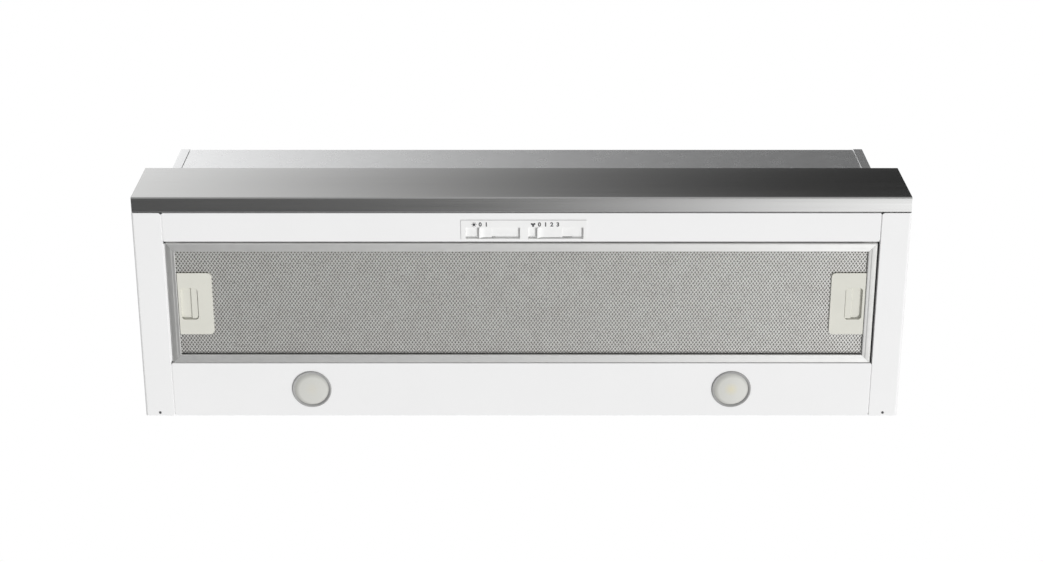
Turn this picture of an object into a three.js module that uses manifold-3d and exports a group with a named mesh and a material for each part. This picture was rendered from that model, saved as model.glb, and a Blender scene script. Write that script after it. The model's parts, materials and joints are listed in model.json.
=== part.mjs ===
// A slide-out cooker hood for a 900 mm wall cupboard, built as the separate pieces it comes apart into.
//
// The housing goes up inside the cupboard and holds the blower. The shallow base below it covers the
// cupboard's bottom edge, and a carriage with the fascia, the switches and the grease filter slides forward
// out of the base. Millimetres. X is the width, Y runs back to the wall at 0, and Z is up, with 0 level with
// the cupboard's underside.

import * as THREE from "three";
import { mergeVertices } from "three/addons/utils/BufferGeometryUtils.js";
import Module from "manifold-3d";

const wasm = await Module();
wasm.setup();

// ---------------------------------------------------------------- driving dimensions

const depth = 278; // from the fascia's front to the wall
const sheet = 1; // thickness of the folded steel
const gap = 0.3; // left between pieces that touch
const across = 5000; // longer than anything here, for a cut that goes right through

const fascia = { width: 898, height: 104, lip: 19, lowerReturn: 10, upperReturn: 8 };
const base = { width: 900, drop: 40, reveal: 0.3 }; // the base hangs this far below the cupboard
const housing = { width: 854, top: 190, flange: 11.5 };
const seamX = 415.5; // inner edge of the side covers

const frontY = -depth;
const underZ = -base.drop;
const lipY = frontY + fascia.lip; // back edge of the fascia's bottom lip
const baseFrontY = lipY + base.reveal;
const carriageFrontY = lipY + 1.6; // front of the arms and the plate that ride behind the strip
const carriageX = seamX - 1.5; // the carriage's half width
const housingX = housing.width / 2;
const ledgeZ = -4.3; // underside of the ledges that the inner filter lies on

const filter = { x: 413, frontY: -221, rearY: -69.4, thickness: 9, border: 10, meshRecess: 2.4 };
const innerFilter = { x: 411, frontY: -230, rearY: -70, lowZ: -3, thickness: 8, border: 10 };
const meshThickness = 1.6; // the pressed metal of the filters' layers, without the air between them
const stripRearY = filter.frontY - 2.4; // back edge of the strip that holds the switches
const lampPanelFrontY = filter.rearY + 0.6;

const rail = { frontY: -256, rearY: -10, lowZ: -33, highZ: -12, x0: 418.5, x1: housingX - sheet - gap };
const runner = { frontY: -255, rearY: -20, lowZ: -27, highZ: -18, x1: 422.5 };

const lamp = { x: 250, y: frontY + 243, ring: 23.5, lens: 20.4, can: 19.6 };
const blower = { y: -160, z: 92, halfWidth: 60, wall: 1.5, impeller: 54, shaft: 4 };
const scroll = { tongueAngle: 65, tongueRadius: 60, fullRadius: 92, mouthZ: 186.2 };
const collar = { y: -100, outer: 75, inner: 72.5, flange: 88, lowZ: 188, highZ: 232 };
const flap = { hingeY: 4.2, hingeZ: 198.4, radius: 71, barrel: 2.6, thickness: 1.4 };

const motor = { radius: 38, x0: -122, x1: -62 };
const cableEntry = { x: 300, y: -50 };
const coverScrew = { x: 432.6, y: -4 };

const bezel = { x0: -70, x1: 75.4, y0: frontY + 27.8, y1: frontY + 51.9, faceZ: underZ - 1 };
const pocket = { y0: frontY + 36.7, y1: frontY + 50.6, floorZ: underZ + 2.6, floor: 1.2 };
const slit = { y0: pocket.y1 - 1.7, y1: pocket.y1 - 0.4 };
const lightSwitch = { slot: [-64.5, -1.8], knob: [-49.3, -34.2], travel: 7 };
const fanSwitch = { slot: [7.6, 71.5], knob: [18, 47.3], travel: 21.6 };
const knob = { finZ: underZ - 1.5, footZ: underZ + 1.4, finWidth: 1.2, scoop: 7.5 };

const latch = { x0: 362, x1: 402.2, y: -145, length: 77.6, faceZ: underZ + 0.6, plate: 1.4 };
const fingerPocket = { x0: 379.2, x1: 399.4, length: 40.2, floorZ: -35.6, floor: 1.2 };
const bolt = { halfWidth: 5, lowZ: -34.1, highZ: -32.1, tipX: 414.3 };
const tab = { x0: 379.7, x1: 387.2, travel: 6, faceZ: underZ + 2.3 };

// ---------------------------------------------------------------- materials

function steel(color, roughness, metalness = 1) {
  return new THREE.MeshStandardMaterial({ color, roughness, metalness });
}

const stainless = steel(0x9a9a98, 0.32);
const galvanised = steel(0xb8babb, 0.42);
const zincPlated = steel(0xa9acb0, 0.35);
const darkSteel = steel(0x4a4a4a, 0.5);
const filterAluminium = steel(0xb4b5b0, 0.4);
const filterWeave = steel(0x9c9a94, 0.5);
const whitePaint = steel(0xececec, 0.38, 0);
const whitePlastic = steel(0xf0f0ee, 0.3, 0);
const ivoryPlastic = steel(0xd8d7cc, 0.45, 0);
const blackPlastic = steel(0x1b1b1c, 0.6, 0);
const greyPlastic = steel(0x6f7376, 0.55, 0);
const lampRing = steel(0x8b8b88, 0.35);
const frostedLens = steel(0xd6d5cc, 0.5, 0);

// ---------------------------------------------------------------- shapes

// A block between two opposite corners.
function block([x0, y0, z0], [x1, y1, z1]) {
  const geometry = new THREE.BoxGeometry(x1 - x0, y1 - y0, z1 - z0);
  return geometry.translate((x0 + x1) / 2, (y0 + y1) / 2, (z0 + z1) / 2);
}

// A block whose lower face is wider than its upper face by `spread` on each side.
function flaredBlock([x0, y0, z0], [x1, y1, z1], spread) {
  const geometry = block([x0, y0, z0], [x1, y1, z1]);
  const position = geometry.getAttribute("position");
  for (let i = 0; i < position.count; i++) {
    if (position.getZ(i) > (z0 + z1) / 2) continue;
    position.setX(i, position.getX(i) + Math.sign(position.getX(i) - (x0 + x1) / 2) * spread);
    position.setY(i, position.getY(i) + Math.sign(position.getY(i) - (y0 + y1) / 2) * spread);
  }
  return geometry;
}

function rotor(radius, from, to, segments = 24) {
  return new THREE.CylinderGeometry(radius, radius, to - from, segments).translate(0, (from + to) / 2, 0);
}

// Cylinders along X and Z, between two stations on the axis through (y, z) or (x, y).
function rodX(radius, x0, x1, y, z, segments) {
  return rotor(radius, x0, x1, segments).rotateZ(-Math.PI / 2).translate(0, y, z);
}

function rodZ(radius, z0, z1, x, y, segments) {
  return rotor(radius, z0, z1, segments).rotateX(Math.PI / 2).translate(x, y, 0);
}

// A ring about Z from a closed profile of [radius, height] points, listed counterclockwise.
function ring(profile, segments = 32) {
  const points = [...profile, profile[0]].map(([r, z]) => new THREE.Vector2(r, z));
  return new THREE.LatheGeometry(points, segments).rotateX(Math.PI / 2);
}

// The outline of a folded sheet: an open path of outer corners, thickened to the left of its direction.
function foldedOutline(path, thickness = sheet) {
  const corners = path.map(([u, v]) => new THREE.Vector2(u, v));
  const normals = corners.slice(1).map((corner, i) => {
    const along = corner.clone().sub(corners[i]).normalize();
    return new THREE.Vector2(-along.y, along.x);
  });
  const inner = corners.map((corner, i) => {
    const before = normals[Math.max(i - 1, 0)];
    const after = normals[Math.min(i, normals.length - 1)];
    const mitre = before.clone().add(after).divideScalar(1 + before.dot(after));
    return corner.clone().addScaledVector(mitre, thickness);
  });
  return [...corners, ...inner.reverse()];
}

// Prisms of an outline: in the YZ plane running along X, in XZ along Y, and in XY along Z.
function prism(outline, length) {
  return new THREE.ExtrudeGeometry(new THREE.Shape(outline), { depth: length, bevelEnabled: false });
}

function prismX(outline, x0, x1) {
  const turn = new THREE.Matrix4().makeBasis(
    new THREE.Vector3(0, 1, 0),
    new THREE.Vector3(0, 0, 1),
    new THREE.Vector3(1, 0, 0),
  );
  return prism(outline, x1 - x0).applyMatrix4(turn).translate(x0, 0, 0);
}

function prismY(outline, y0, y1) {
  return prism(outline, y1 - y0).rotateX(Math.PI / 2).translate(0, y1, 0);
}

function prismZ(outline, z0, z1) {
  return prism(outline, z1 - z0).translate(0, 0, z0);
}

// Folded sheets running the given way.
function foldX(path, x0, x1, thickness) {
  return prismX(foldedOutline(path, thickness), x0, x1);
}

function foldY(path, y0, y1, thickness) {
  return prismY(foldedOutline(path, thickness), y0, y1);
}

// A rectangle with round corners, as outline points.
function roundedRectangle(x0, y0, x1, y1, radius, steps = 4) {
  const centres = [
    [x1 - radius, y0 + radius, -90],
    [x1 - radius, y1 - radius, 0],
    [x0 + radius, y1 - radius, 90],
    [x0 + radius, y0 + radius, 180],
  ];
  return centres.flatMap(([cx, cy, start]) =>
    Array.from({ length: steps + 1 }, (_, i) => {
      const angle = THREE.MathUtils.degToRad(start + (90 * i) / steps);
      return new THREE.Vector2(cx + radius * Math.cos(angle), cy + radius * Math.sin(angle));
    }),
  );
}

// ---------------------------------------------------------------- joining and cutting

function toSolid(geometry) {
  const bare = new THREE.BufferGeometry();
  bare.setAttribute("position", geometry.getAttribute("position"));
  bare.setIndex(geometry.index);
  const merged = mergeVertices(bare, 1e-4);
  return new wasm.Manifold(
    new wasm.Mesh({
      numProp: 3,
      vertProperties: new Float32Array(merged.getAttribute("position").array),
      triVerts: new Uint32Array(merged.index.array),
    }),
  );
}

function toGeometry(solid) {
  const mesh = solid.getMesh();
  const geometry = new THREE.BufferGeometry();
  geometry.setAttribute("position", new THREE.BufferAttribute(mesh.vertProperties, 3));
  geometry.setIndex(new THREE.BufferAttribute(mesh.triVerts, 1));
  geometry.computeVertexNormals();
  return geometry;
}

function join(...geometries) {
  return toGeometry(geometries.map(toSolid).reduce((whole, part) => whole.add(part)));
}

function cut(geometry, ...tools) {
  return toGeometry(tools.map(toSolid).reduce((rest, tool) => rest.subtract(tool), toSolid(geometry)));
}

function keepInside(geometry, region) {
  return toGeometry(toSolid(geometry).intersect(toSolid(region)));
}

// ---------------------------------------------------------------- assembly helpers

const hood = new THREE.Group();

function place(name, geometry, material, group = hood) {
  const mesh = new THREE.Mesh(geometry, material);
  mesh.name = name;
  group.add(mesh);
  return mesh;
}

// The pieces of one side are modelled on the right, and the left side is their mirror image.
function onBothSides(build) {
  for (const [side, sign] of [["right", 1], ["left", -1]]) {
    const group = new THREE.Group();
    group.scale.x = sign;
    hood.add(group);
    build((name, geometry, material) => place(`${name}_${side}`, geometry, material, group));
  }
}

// ---------------------------------------------------------------- housing shell

function housingSide() {
  const lowZ = underZ + 2;
  const plate = block([housingX - sheet, baseFrontY, lowZ], [housingX, -sheet - gap, housing.top]);
  const flange = block(
    [housingX - housing.flange, baseFrontY, 2],
    [housingX, baseFrontY + sheet, housing.top],
  );
  const fixingHoles = [-60, -200].map((y) => rodX(2.5, housingX - 5, housingX + 5, y, 150, 10));
  return cut(join(plate, flange), ...fixingHoles);
}

function housingFrontPanel() {
  const faceY = baseFrontY + 0.5;
  const path = [[faceY + 11.5, housing.top - 1], [faceY, housing.top - 1], [faceY, ledgeZ], [-224, ledgeZ]];
  const halfWidth = housingX - housing.flange - gap;
  return foldX(path, -halfWidth, halfWidth);
}

function housingBackPanel() {
  const lowX = seamX - 2;
  const highX = housingX - sheet - gap;
  const outline = [
    [-lowX, underZ + 1.3],
    [lowX, underZ + 1.3],
    [lowX, 0],
    [highX, 0],
    [highX, housing.top],
    [-highX, housing.top],
    [-highX, 0],
    [-lowX, 0],
  ].map(([x, z]) => new THREE.Vector2(x, z));
  const keyholes = [-300, 300].map((x) =>
    join(
      prismY(roundedRectangle(x - 2.5, 122, x + 2.5, 136, 2.4, 3), -2, 1),
      prismY(roundedRectangle(x - 5, 114, x + 5, 124, 4.9, 3), -2, 1),
    ),
  );
  return cut(prismY(outline, -sheet, 0), ...keyholes);
}

function housingTopPanel() {
  const highZ = collar.lowZ - gap;
  const halfWidth = housingX - sheet - gap - 0.2;
  const plate = block([-halfWidth, baseFrontY + 1.8, highZ - sheet], [halfWidth, -sheet - gap, highZ]);
  const ductHole = rodZ(70, 150, 250, 0, collar.y, 40);
  const cableHole = rodZ(6.3, 150, 250, cableEntry.x, cableEntry.y, 16);
  return cut(plate, ductHole, cableHole);
}

// ---------------------------------------------------------------- base

function sideCover() {
  const outerX = base.width / 2;
  const path = [[seamX, -33], [seamX, underZ], [outerX, underZ], [outerX, 0], [housingX + 1, 0]];
  const shell = foldY(path, baseFrontY, 0);
  const radius = 4; // the bottom's inner front corner is round
  const cornerBlock = block(
    [seamX - 1, baseFrontY - 1, underZ - 1],
    [seamX + radius, baseFrontY + radius, -30],
  );
  const round = rodZ(radius, underZ - 2, -29, seamX + radius, baseFrontY + radius, 24);
  const screwHole = rodZ(1.5, underZ - 1, underZ + 3, coverScrew.x, coverScrew.y, 12);
  return cut(shell, cut(cornerBlock, round), screwHole);
}

function sideCoverScrew() {
  const head = rodZ(1.9, underZ - 0.9, underZ - gap, coverScrew.x, coverScrew.y, 14);
  const shank = rodZ(1.2, underZ - gap, underZ + 7, coverScrew.x, coverScrew.y, 14);
  return join(head, shank);
}

function lampPanel() {
  const rearY = -sheet - gap;
  const path = [[lampPanelFrontY, -31], [lampPanelFrontY, underZ], [rearY, underZ], [rearY, -25]];
  const halfWidth = seamX - 0.8;
  const holes = [-lamp.x, lamp.x].map((x) => rodZ(21.9, underZ - 1, underZ + 3, x, lamp.y, 32));
  return cut(foldX(path, -halfWidth, halfWidth), ...holes);
}

// A shelf over the lamps that closes the housing's floor behind the inner filter, which lies on it.
function rearLedge() {
  const rearY = -sheet - 0.6;
  const path = [[innerFilter.rearY - 6, ledgeZ], [rearY, ledgeZ], [rearY, 8]];
  const halfWidth = carriageX - 0.2;
  return foldX(path, -halfWidth, halfWidth);
}

function outerRail() {
  const path = [[rail.x0, rail.lowZ], [rail.x1, rail.lowZ], [rail.x1, rail.highZ], [rail.x0, rail.highZ]];
  return foldY(path, rail.frontY, rail.rearY, 1.2);
}

function innerRail() {
  const web = block([carriageX + gap, runner.frontY, -30], [seamX - 0.2, runner.rearY, -15]);
  const bar = block([seamX - 0.2, runner.frontY, runner.lowZ], [runner.x1, runner.rearY, runner.highZ]);
  return join(web, bar);
}

// The cage holds the balls that run between the two rails, and travels half as far as the carriage.
function ballCage() {
  const [x0, x1] = [418.8, 424];
  const [y0, y1] = [-160, -40];
  const path = [[x0, -30], [x1, -30], [x1, -15], [x0, -15]];
  const cage = foldY(path, y0, y1, 0.8);
  const balls = [];
  for (const z of [-29.5, -15.5]) {
    for (let y = y0 + 10; y < y1; y += 33) {
      balls.push(new THREE.SphereGeometry(2, 8, 6).translate(420.5, y, z));
    }
  }
  return join(cage, ...balls);
}

// ---------------------------------------------------------------- lamps

function lampBezel() {
  const { ring: outer } = lamp;
  const profile = [
    [20.6, underZ - 1.2],
    [outer - 0.7, underZ - 1.6],
    [outer, underZ - 1],
    [outer, underZ - gap],
    [21.6, underZ - gap],
    [21.6, underZ + 7],
    [20.6, underZ + 7],
  ];
  return ring(profile).translate(lamp.x, lamp.y, 0);
}

function lampLens() {
  return rodZ(lamp.lens, underZ - 1, underZ + 1.4, lamp.x, lamp.y, 32);
}

function lampCan() {
  const can = rodZ(lamp.can, underZ + 1.7, underZ + 16, lamp.x, lamp.y, 24);
  const driver = rodZ(12, underZ + 16, underZ + 26, lamp.x, lamp.y, 24);
  return join(can, driver);
}

// ---------------------------------------------------------------- inner filter

function innerFilterFrame() {
  const { x, frontY: y0, rearY: y1, lowZ, thickness, border } = innerFilter;
  const outer = block([-x, y0, lowZ], [x, y1, lowZ + thickness]);
  const opening = block([border - x, y0 + border, lowZ - 1], [x - border, y1 - border, lowZ + thickness + 1]);
  return cut(outer, opening);
}

function innerFilterMesh() {
  const { x, frontY: y0, rearY: y1, lowZ, thickness, border } = innerFilter;
  const inset = border + gap;
  const meshZ = lowZ + (thickness - meshThickness) / 2;
  return block([inset - x, y0 + inset, meshZ], [x - inset, y1 - inset, meshZ + meshThickness]);
}

// ---------------------------------------------------------------- blower

// The scroll's side view: a spiral round the impeller that opens into a mouth at the top.
function scrollOutline(inset, mouthZ) {
  const turns = 26;
  const spiral = Array.from({ length: turns + 1 }, (_, i) => {
    const share = 1 - i / turns;
    const angle = THREE.MathUtils.degToRad(scroll.tongueAngle + (360 - scroll.tongueAngle) * share);
    const radius = THREE.MathUtils.lerp(scroll.tongueRadius, scroll.fullRadius, share) - inset;
    return new THREE.Vector2(blower.y + radius * Math.cos(angle), blower.z + radius * Math.sin(angle));
  });
  const tongue = spiral[turns];
  const mouthFront = new THREE.Vector2(tongue.x + inset, mouthZ);
  const mouthRear = new THREE.Vector2(spiral[0].x, mouthZ);
  return [mouthRear, ...spiral, mouthFront].reverse();
}

function scrollShell() {
  const { halfWidth: half, wall } = blower;
  const outside = prismX(scrollOutline(0, scroll.mouthZ), -half, half);
  const inside = prismX(scrollOutline(wall, scroll.mouthZ + 5), wall - half, half - wall);
  const inlet = rodX(42, 0, half + 5, blower.y, blower.z, 36);
  const shaftHole = rodX(12, -half - 5, 0, blower.y, blower.z, 20);
  return cut(outside, inside, inlet, shaftHole);
}

// The scroll is moulded in two halves that meet in the middle.
function scrollHalf(side) {
  const [x0, x1] = side < 0 ? [-200, -gap / 2] : [gap / 2, 200];
  return keepInside(scrollShell(), block([x0, -400, -100], [x1, 100, 400]));
}

function impellerWheel() {
  const { impeller: radius, shaft } = blower;
  const bladeCount = 22;
  const [backX, frontX] = [-50, 50];
  const disc = rodX(radius, backX, backX + 2, 0, 0, 44);
  const hub = rodX(10, backX - 4, backX + 18, 0, 0, 20);
  const rim = cut(rodX(radius, frontX - 3, frontX, 0, 0, 44), rodX(radius - 11, 0, frontX + 1, 0, 0, 44));
  const blades = Array.from({ length: bladeCount }, (_, i) =>
    block([backX + 1, -5.5, -0.6], [frontX - 1, 5.5, 0.6])
      .rotateX(THREE.MathUtils.degToRad(35))
      .translate(0, radius - 6, 0)
      .rotateX((2 * Math.PI * i) / bladeCount),
  );
  const wheel = join(disc, hub, rim, ...blades);
  return cut(wheel, rodX(shaft + gap, -100, 0, 0, 0, 16)).translate(0, blower.y, blower.z);
}

function motorCan() {
  const body = rodX(motor.radius, motor.x0, motor.x1, blower.y, blower.z, 28);
  const boss = rodX(14, motor.x0 - 6, motor.x0, blower.y, blower.z, 20);
  const bore = rodX(blower.shaft + 0.6, -101, motor.x1 + 1, blower.y, blower.z, 16);
  return cut(join(body, boss), bore);
}

function motorPlate() {
  const x1 = -blower.halfWidth - gap;
  const disc = rodX(50, x1 - 1.4, x1, blower.y, blower.z, 28);
  return cut(disc, rodX(12, x1 - 5, x1 + 5, blower.y, blower.z, 20));
}

function motorShaft() {
  return rodX(blower.shaft, -100, -33, blower.y, blower.z, 16);
}

function motorCapacitor() {
  return rodZ(14, 138, collar.lowZ - 1.6, -170, -60, 20);
}

// ---------------------------------------------------------------- mains entry

function terminalBox() {
  const { x, y } = cableEntry;
  return block([x - 45, y - 35, 152], [x + 45, y + 25, collar.lowZ - 1.6]);
}

function cableGland() {
  const bore = 3.6;
  const profile = [
    [bore, 187],
    [5.9, 187],
    [5.9, 188],
    [11, 188],
    [11, 194],
    [8, 203],
    [bore, 203],
  ];
  return ring(profile, 20).translate(cableEntry.x, cableEntry.y, 0);
}

// ---------------------------------------------------------------- duct collar and dampers

function ductCollar() {
  const { inner, outer, flange, lowZ, highZ } = collar;
  const stop = inner - 4.5;
  const profile = [
    [inner, lowZ],
    [flange, lowZ],
    [flange, lowZ + 2],
    [outer, lowZ + 2],
    [outer, highZ],
    [inner, highZ],
    [inner, 195.5],
    [stop, 195.5],
    [stop, 194],
    [inner, 194],
  ];
  const body = ring(profile, 40).translate(0, collar.y, 0);
  const pinHoles = [-1, 1].map((side) =>
    rodX(1.4, -across / 2, across / 2, collar.y + side * flap.hingeY, flap.hingeZ, 12),
  );
  return cut(body, ...pinHoles);
}

// The rib between the two flaps, which stops each from swinging right over.
function damperBridge() {
  return block([-71.9, collar.y - 1.2, 195.8], [71.9, collar.y + 1.2, 205]);
}

// A half disc on a hinge barrel, modelled for the rear side of the bridge and turned round for the front.
function damperFlap(side) {
  const steps = 18;
  const halfDisc = Array.from({ length: steps + 1 }, (_, i) => {
    const start = Math.asin(flap.hingeY / flap.radius);
    const angle = THREE.MathUtils.lerp(start, Math.PI - start, i / steps);
    return new THREE.Vector2(flap.radius * Math.cos(angle), flap.radius * Math.sin(angle));
  });
  const lowZ = flap.hingeZ - flap.barrel;
  const plate = prismZ(halfDisc, lowZ, lowZ + flap.thickness);
  const barrel = rodX(flap.barrel, -66, 66, flap.hingeY, flap.hingeZ, 16);
  const bore = rodX(1.5, -80, 80, flap.hingeY, flap.hingeZ, 16);
  const whole = cut(join(plate, barrel), bore);
  return side < 0 ? whole.rotateZ(Math.PI) : whole;
}

function damperPin(side) {
  return rodX(1.1, 0.2 - collar.outer, collar.outer - 0.2, collar.y + side * flap.hingeY, flap.hingeZ, 12);
}

// ---------------------------------------------------------------- carriage

function fasciaPanel() {
  const topZ = underZ + fascia.height;
  const path = [
    [lipY, topZ - fascia.upperReturn],
    [lipY, topZ],
    [frontY, topZ],
    [frontY, underZ],
    [lipY, underZ],
    [lipY, underZ + fascia.lowerReturn],
  ];
  return foldX(path, -fascia.width / 2, fascia.width / 2);
}

function fasciaEndCap() {
  const clear = sheet + gap;
  const outerX = fascia.width / 2 - 0.4;
  return block(
    [outerX - 2.2, frontY + clear, underZ + clear],
    [outerX, lipY - clear, underZ + fascia.height - clear],
  );
}

// A folded bracket that ties the fascia to the front of the carriage.
function fasciaBacking() {
  const faceY = frontY + sheet + gap;
  const footZ = underZ + fascia.lowerReturn + 2;
  return foldX([[faceY, 40], [faceY, footZ], [lipY, footZ], [lipY, -14]], -440, 440);
}

function controlStrip() {
  const faceY = lipY + gap;
  const path = [[faceY, -12], [faceY, underZ], [stripRearY, underZ], [stripRearY, -31]];
  const opening = block([-66.8, pocket.y0 - 2.3, underZ - 2], [73.8, bezel.y1 - gap, underZ + 2]);
  const halfWidth = seamX - 1;
  return cut(foldX(path, -halfWidth, halfWidth), opening);
}

function carriageArm() {
  const path = [[carriageX - 15, -30.5], [carriageX, -30.5], [carriageX, -9]];
  return foldY(path, carriageFrontY, filter.rearY - 0.9);
}

function carriageCrossbar() {
  const rearY = filter.rearY - 0.9;
  const halfWidth = carriageX - 15 - gap;
  return foldX([[rearY - 13.7, -30.5], [rearY, -30.5], [rearY, -24]], -halfWidth, halfWidth);
}

function visorPlate() {
  const y0 = carriageFrontY;
  const halfWidth = carriageX - 1.3;
  return foldX([[filter.rearY - 2.6, -7], [y0, -7], [y0, -20]], -halfWidth, halfWidth);
}

// ---------------------------------------------------------------- switches

function switchBezel() {
  const { x0, x1, y0, y1, faceZ } = bezel;
  const plate = block([x0, y0, faceZ], [x1, y1, underZ - gap]);
  const backZ = pocket.floorZ + pocket.floor;
  const tub = block([-66.5, pocket.y0 - 2, underZ - gap], [73.5, bezel.y1 - 0.6, backZ]);
  const tools = [lightSwitch, fanSwitch].flatMap(({ slot: [from, to] }) => [
    block([from, pocket.y0, faceZ - 1], [to, pocket.y1, pocket.floorZ]),
    block([from + 1, slit.y0, faceZ], [to - 1, slit.y1, backZ + 1]),
  ]);
  return cut(join(plate, tub), ...tools);
}

// A knob lies in its pocket, with a fin at one end that scoops down to a low foot for the fingertip. Its
// stem goes up through the slit into the switch box.
function sliderKnob({ knob: [from, to] }) {
  const backZ = pocket.floorZ - gap;
  const steps = 7;
  const scoop = Array.from({ length: steps + 1 }, (_, i) => {
    const angle = (Math.PI / 2) * (i / steps);
    const x = from + knob.finWidth + knob.scoop * (1 - Math.cos(angle));
    return [x, THREE.MathUtils.lerp(knob.finZ, knob.footZ, Math.sin(angle))];
  });
  const outline = [[from, backZ], [from, knob.finZ], ...scoop, [to, knob.footZ], [to, backZ]];
  const points = outline.map(([x, z]) => new THREE.Vector2(x, z));
  const grip = prismY(points, pocket.y0 + 0.5, slit.y1 - 0.3);
  const middle = (from + to) / 2;
  const stem = block([middle - 4, slit.y0 + 0.3, knob.footZ + 0.5], [middle + 4, slit.y1 - 0.3, -29.5]);
  return join(grip, stem);
}

function switchBox() {
  const lowZ = pocket.floorZ + pocket.floor + gap;
  const box = block([-68, frontY + 29, lowZ], [75, bezel.y1, -17]);
  const channels = [lightSwitch, fanSwitch].map(({ knob: [from, to], travel }) => {
    const middle = (from + to) / 2;
    return block(
      [middle - 4.8, slit.y0 - 0.3, lowZ - 1],
      [middle + 4.8 + travel, slit.y1 + 0.3, -28.5],
    );
  });
  return cut(box, ...channels);
}

// ---------------------------------------------------------------- grease filter

function filterFrame() {
  const { x, frontY: y0, rearY: y1, thickness, border, meshRecess } = filter;
  const topZ = underZ + thickness;
  const outer = block([-x, y0, underZ], [x, y1, topZ]);
  const low = [border - x, y0 + border];
  const high = [x - border, y1 - border];
  const opening = block([...low, underZ + meshRecess / 2], [...high, topZ + 1]);
  const bevel = flaredBlock([...low, underZ], [...high, underZ + meshRecess], 4);
  const boltHole = block(
    [-across / 2, latch.y - bolt.halfWidth - 0.4, bolt.lowZ - 0.4],
    [across / 2, latch.y + bolt.halfWidth + 0.4, bolt.highZ + 0.4],
  );
  return cut(outer, opening, bevel, boltHole);
}

function filterMesh() {
  const { x, frontY: y0, rearY: y1, border, meshRecess } = filter;
  const inset = border + gap;
  const slab = block(
    [inset - x, y0 + inset, underZ + meshRecess],
    [x - inset, y1 - inset, underZ + meshRecess + meshThickness],
  );
  const half = fingerPocket.length / 2 + 1.5;
  const latchRooms = [-1, 1].map((side) => {
    const [near, far] = [tab.x0 - tab.travel - 2.5, x];
    const [x0, x1] = side < 0 ? [-far, -near] : [near, far];
    return block([x0, latch.y - half, underZ], [x1, latch.y + half, 0]);
  });
  return cut(slab, ...latchRooms);
}

// The plate round the finger pocket, seen from below as the filter's handle. The pocket goes on behind the
// plate, towards the middle of the filter, to give the tab room to slide.
function latchPlate() {
  const { x0, x1, y, length, faceZ, plate } = latch;
  const backZ = faceZ + plate;
  const wall = 1.2;
  const face = keepInside(
    prismZ(roundedRectangle(x0, y - length / 2, x1 + 20, y + length / 2, 5), faceZ, backZ),
    block([x0, y - length / 2, faceZ - 1], [x1, y + length / 2, 0]),
  );
  const half = fingerPocket.length / 2;
  const roomX = tab.x0 - tab.travel - 1;
  const topZ = fingerPocket.floorZ + fingerPocket.floor;
  const tub = prismZ(
    roundedRectangle(roomX - wall, y - half - wall, fingerPocket.x1 + wall, y + half + wall, 2),
    backZ - 0.5,
    topZ,
  );
  const mouth = prismZ(
    roundedRectangle(fingerPocket.x0, y - half, fingerPocket.x1, y + half, 4),
    faceZ - 1,
    backZ + 0.5,
  );
  const room = block([roomX, y - half, backZ], [fingerPocket.x1, y + half, fingerPocket.floorZ]);
  const stemSlot = block(
    [roomX + 1, y - bolt.halfWidth - 0.4, fingerPocket.floorZ - 0.5],
    [tab.x1 + 1, y + bolt.halfWidth + 0.4, topZ + 1],
  );
  return cut(join(face, tub), mouth, room, stemSlot);
}

// The tab that a finger draws towards the middle of the filter. Its bolt runs out over the pocket's floor.
function latchTab() {
  const half = fingerPocket.length / 2 - 0.6;
  const [y0, y1] = [latch.y - bolt.halfWidth, latch.y + bolt.halfWidth];
  const backZ = fingerPocket.floorZ - gap;
  const grip = block([tab.x0, latch.y - half, tab.faceZ], [tab.x1, latch.y + half, backZ]);
  const stem = block([tab.x0 + 1, y0, tab.faceZ + 1], [tab.x1 - 1, y1, bolt.highZ]);
  const bar = block([tab.x0 + 1, y0, bolt.lowZ], [bolt.tipX, y1, bolt.highZ]);
  return join(grip, stem, bar);
}

// ---------------------------------------------------------------- the whole hood

place("housing_front_panel", housingFrontPanel(), galvanised);
place("housing_back_panel", housingBackPanel(), galvanised);
place("housing_top_panel", housingTopPanel(), galvanised);
place("lamp_panel", lampPanel(), whitePaint);
place("rear_ledge", rearLedge(), galvanised);
place("inner_filter_frame", innerFilterFrame(), filterAluminium);
place("inner_filter_mesh", innerFilterMesh(), filterWeave);

place("scroll_half_left", scrollHalf(-1), blackPlastic);
place("scroll_half_right", scrollHalf(1), blackPlastic);
place("impeller", impellerWheel(), greyPlastic);
place("motor_shaft", motorShaft(), zincPlated);
place("motor_can", motorCan(), darkSteel);
place("motor_plate", motorPlate(), galvanised);
place("motor_capacitor", motorCapacitor(), greyPlastic);
place("terminal_box", terminalBox(), blackPlastic);
place("cable_gland", cableGland(), blackPlastic);

place("duct_collar", ductCollar(), blackPlastic);
place("damper_bridge", damperBridge(), blackPlastic);
for (const [name, side] of [["front", -1], ["rear", 1]]) {
  place(`damper_flap_${name}`, damperFlap(side), greyPlastic).position.y = collar.y;
  place(`damper_pin_${name}`, damperPin(side), zincPlated);
}

place("fascia", fasciaPanel(), stainless);
place("fascia_backing", fasciaBacking(), galvanised);
place("control_strip", controlStrip(), whitePaint);
place("carriage_crossbar", carriageCrossbar(), whitePaint);
place("visor_plate", visorPlate(), whitePaint);
place("switch_bezel", switchBezel(), whitePlastic);
place("switch_box", switchBox(), blackPlastic);
place("light_slider", sliderKnob(lightSwitch), whitePlastic);
place("fan_slider", sliderKnob(fanSwitch), whitePlastic);
place("filter_frame", filterFrame(), filterAluminium);
place("filter_mesh", filterMesh(), filterWeave);

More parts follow.
